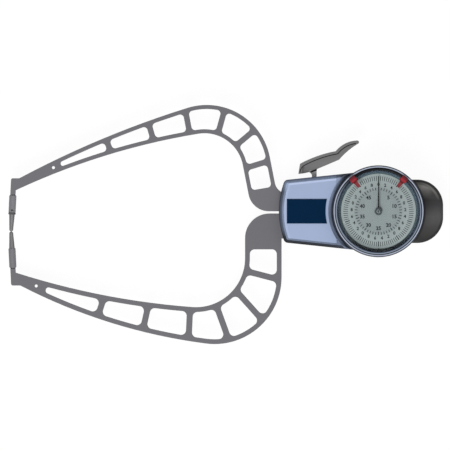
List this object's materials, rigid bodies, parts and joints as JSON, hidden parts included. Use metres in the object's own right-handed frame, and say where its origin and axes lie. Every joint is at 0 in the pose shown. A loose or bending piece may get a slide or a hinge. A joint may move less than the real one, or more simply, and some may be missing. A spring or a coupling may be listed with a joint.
{
  "type": "outside dial caliper",
  "caption": "Outside dial caliper with two bowed lattice arms, small contact tips, a tapered blue housing with a round dial and red markers, a thumb lever and a grip.",
  "frame": {"origin": "the dial's axis where it meets the flat back of the housing", "axes": "+X runs from the contact tips to the grip, +Y to the moving arm and the thumb lever, +Z out of the dial towards the reader"},
  "size_m": [0.29, 0.1594, 0.0339],
  "materials": {
    "arm_grey": "satin",
    "lever_grey": "satin",
    "holder_steel": "satin",
    "tip_steel": "ground",
    "dark_steel": "blackened",
    "body_blue": "satin",
    "panel_blue": "satin",
    "label_navy": "smooth",
    "grip_black": "fine grain",
    "bezel_metal": "satin",
    "dial_grey": "matt, printed",
    "ring_slate": "matt",
    "crystal_clear": "polished",
    "gasket_black": "matt",
    "hand_black": "matt",
    "marker_red": "smooth",
    "case_aluminium": "turned",
    "brass": "satin",
    "steel": "turned",
    "spring_steel": "polished",
    "screw_steel": "blackened"
  },
  "bodies": {
    "housing": {"back_shell": "body_blue", "front_shell": "body_blue", "face_panel": "panel_blue", "label_plate": "label_navy", "housing_screws": "screw_steel", "fixed_arm": "arm_grey", "fixed_arm_screws": "screw_steel", "dowel_pins": "steel", "fixed_contact_holder": "holder_steel", "fixed_contact_tip": "tip_steel", "fixed_contact_screw": "dark_steel", "grip_cover": "grip_black", "grip_back_cover": "grip_black", "grip_screws": "screw_steel", "pivot_pin": "steel", "thrust_washers": "brass", "return_spring": "spring_steel", "spring_post": "steel", "open_stop_pin": "steel", "movement_lower_plate": "brass", "movement_upper_plate": "brass", "movement_pillars": "brass", "plate_screws": "screw_steel", "hairspring": "spring_steel", "hairspring_stud": "brass", "case_screws": "screw_steel", "dial_case": "case_aluminium", "bezel_snap_ring": "steel"},
    "moving_arm": {"moving_arm": "arm_grey", "pivot_bush": "brass", "spring_pin": "steel", "lever_bracket": "lever_grey", "lever_screws": "screw_steel", "thumb_pad": "lever_grey", "moving_contact_holder": "holder_steel", "moving_contact_tip": "tip_steel", "moving_contact_screw": "dark_steel", "moving_contact_collar": "dark_steel", "sector_gear": "brass", "sector_screws": "screw_steel"},
    "intermediate_gear": {"intermediate_arbor": "steel", "intermediate_wheel": "brass"},
    "short_hand": {"short_hand_tube": "steel", "short_hand_wheel": "brass", "short_hand": "hand_black"},
    "lay_gear": {"lay_arbor": "steel", "lay_wheel": "brass"},
    "large_hand": {"centre_arbor": "steel", "large_hand": "hand_black", "hand_hub": "hand_black"},
    "bezel": {"bezel_ring": "bezel_metal", "dial_retainer": "case_aluminium", "dial_plate": "dial_grey", "dial_ring": "ring_slate", "crystal_gasket": "gasket_black", "crystal": "crystal_clear"},
    "left_marker": {"left_marker": "marker_red"},
    "right_marker": {"right_marker": "marker_red"}
  },
  "joints": [
    {"name": "arm_swing", "type": "hinge", "parent": "housing", "child": "moving_arm", "pos_m": [-0.052, 0, 0.013], "axis": [0, 0, -1], "range_deg": [0, 14.86], "stiffness_Nm_per_rad": 0.45, "springref_deg": -28.65, "deforming": ["return_spring"]},
    {"name": "intermediate_spin", "type": "hinge", "parent": "housing", "child": "intermediate_gear", "pos_m": [-0.01, 0, 0.013], "axis": [0, 0, 1], "range_deg": [0, 181], "deforming": ["hairspring"]},
    {"name": "short_hand_spin", "type": "hinge", "parent": "housing", "child": "short_hand", "pos_m": [0, 0, 0.013], "axis": [0, 0, -1], "range_deg": [0, 362]},
    {"name": "lay_spin", "type": "hinge", "parent": "housing", "child": "lay_gear", "pos_m": [0, 0.009, 0.013], "axis": [0, 0, 1], "range_deg": [0, 1805]},
    {"name": "large_hand_spin", "type": "hinge", "parent": "housing", "child": "large_hand", "pos_m": [0, 0, 0.013], "axis": [0, 0, -1], "range_deg": [0, 3610]},
    {"name": "bezel_turn", "type": "hinge", "parent": "housing", "child": "bezel", "pos_m": [0, 0, 0.027], "axis": [0, 0, 1], "continuous": true},
    {"name": "left_marker_turn", "type": "hinge", "parent": "bezel", "child": "left_marker", "pos_m": [0, 0, 0.032], "axis": [0, 0, 1], "range_deg": [-30.5, 133.5]},
    {"name": "right_marker_turn", "type": "hinge", "parent": "bezel", "child": "right_marker", "pos_m": [0, 0, 0.032], "axis": [0, 0, 1], "range_deg": [-133.5, 30.5]}
  ],
  "couplings": [
    {"joint": "intermediate_spin", "follows": "arm_swing", "ratio": 12.118},
    {"joint": "short_hand_spin", "follows": "arm_swing", "ratio": 24.235},
    {"joint": "lay_spin", "follows": "arm_swing", "ratio": 121.18},
    {"joint": "large_hand_spin", "follows": "arm_swing", "ratio": 242.35}
  ]
}
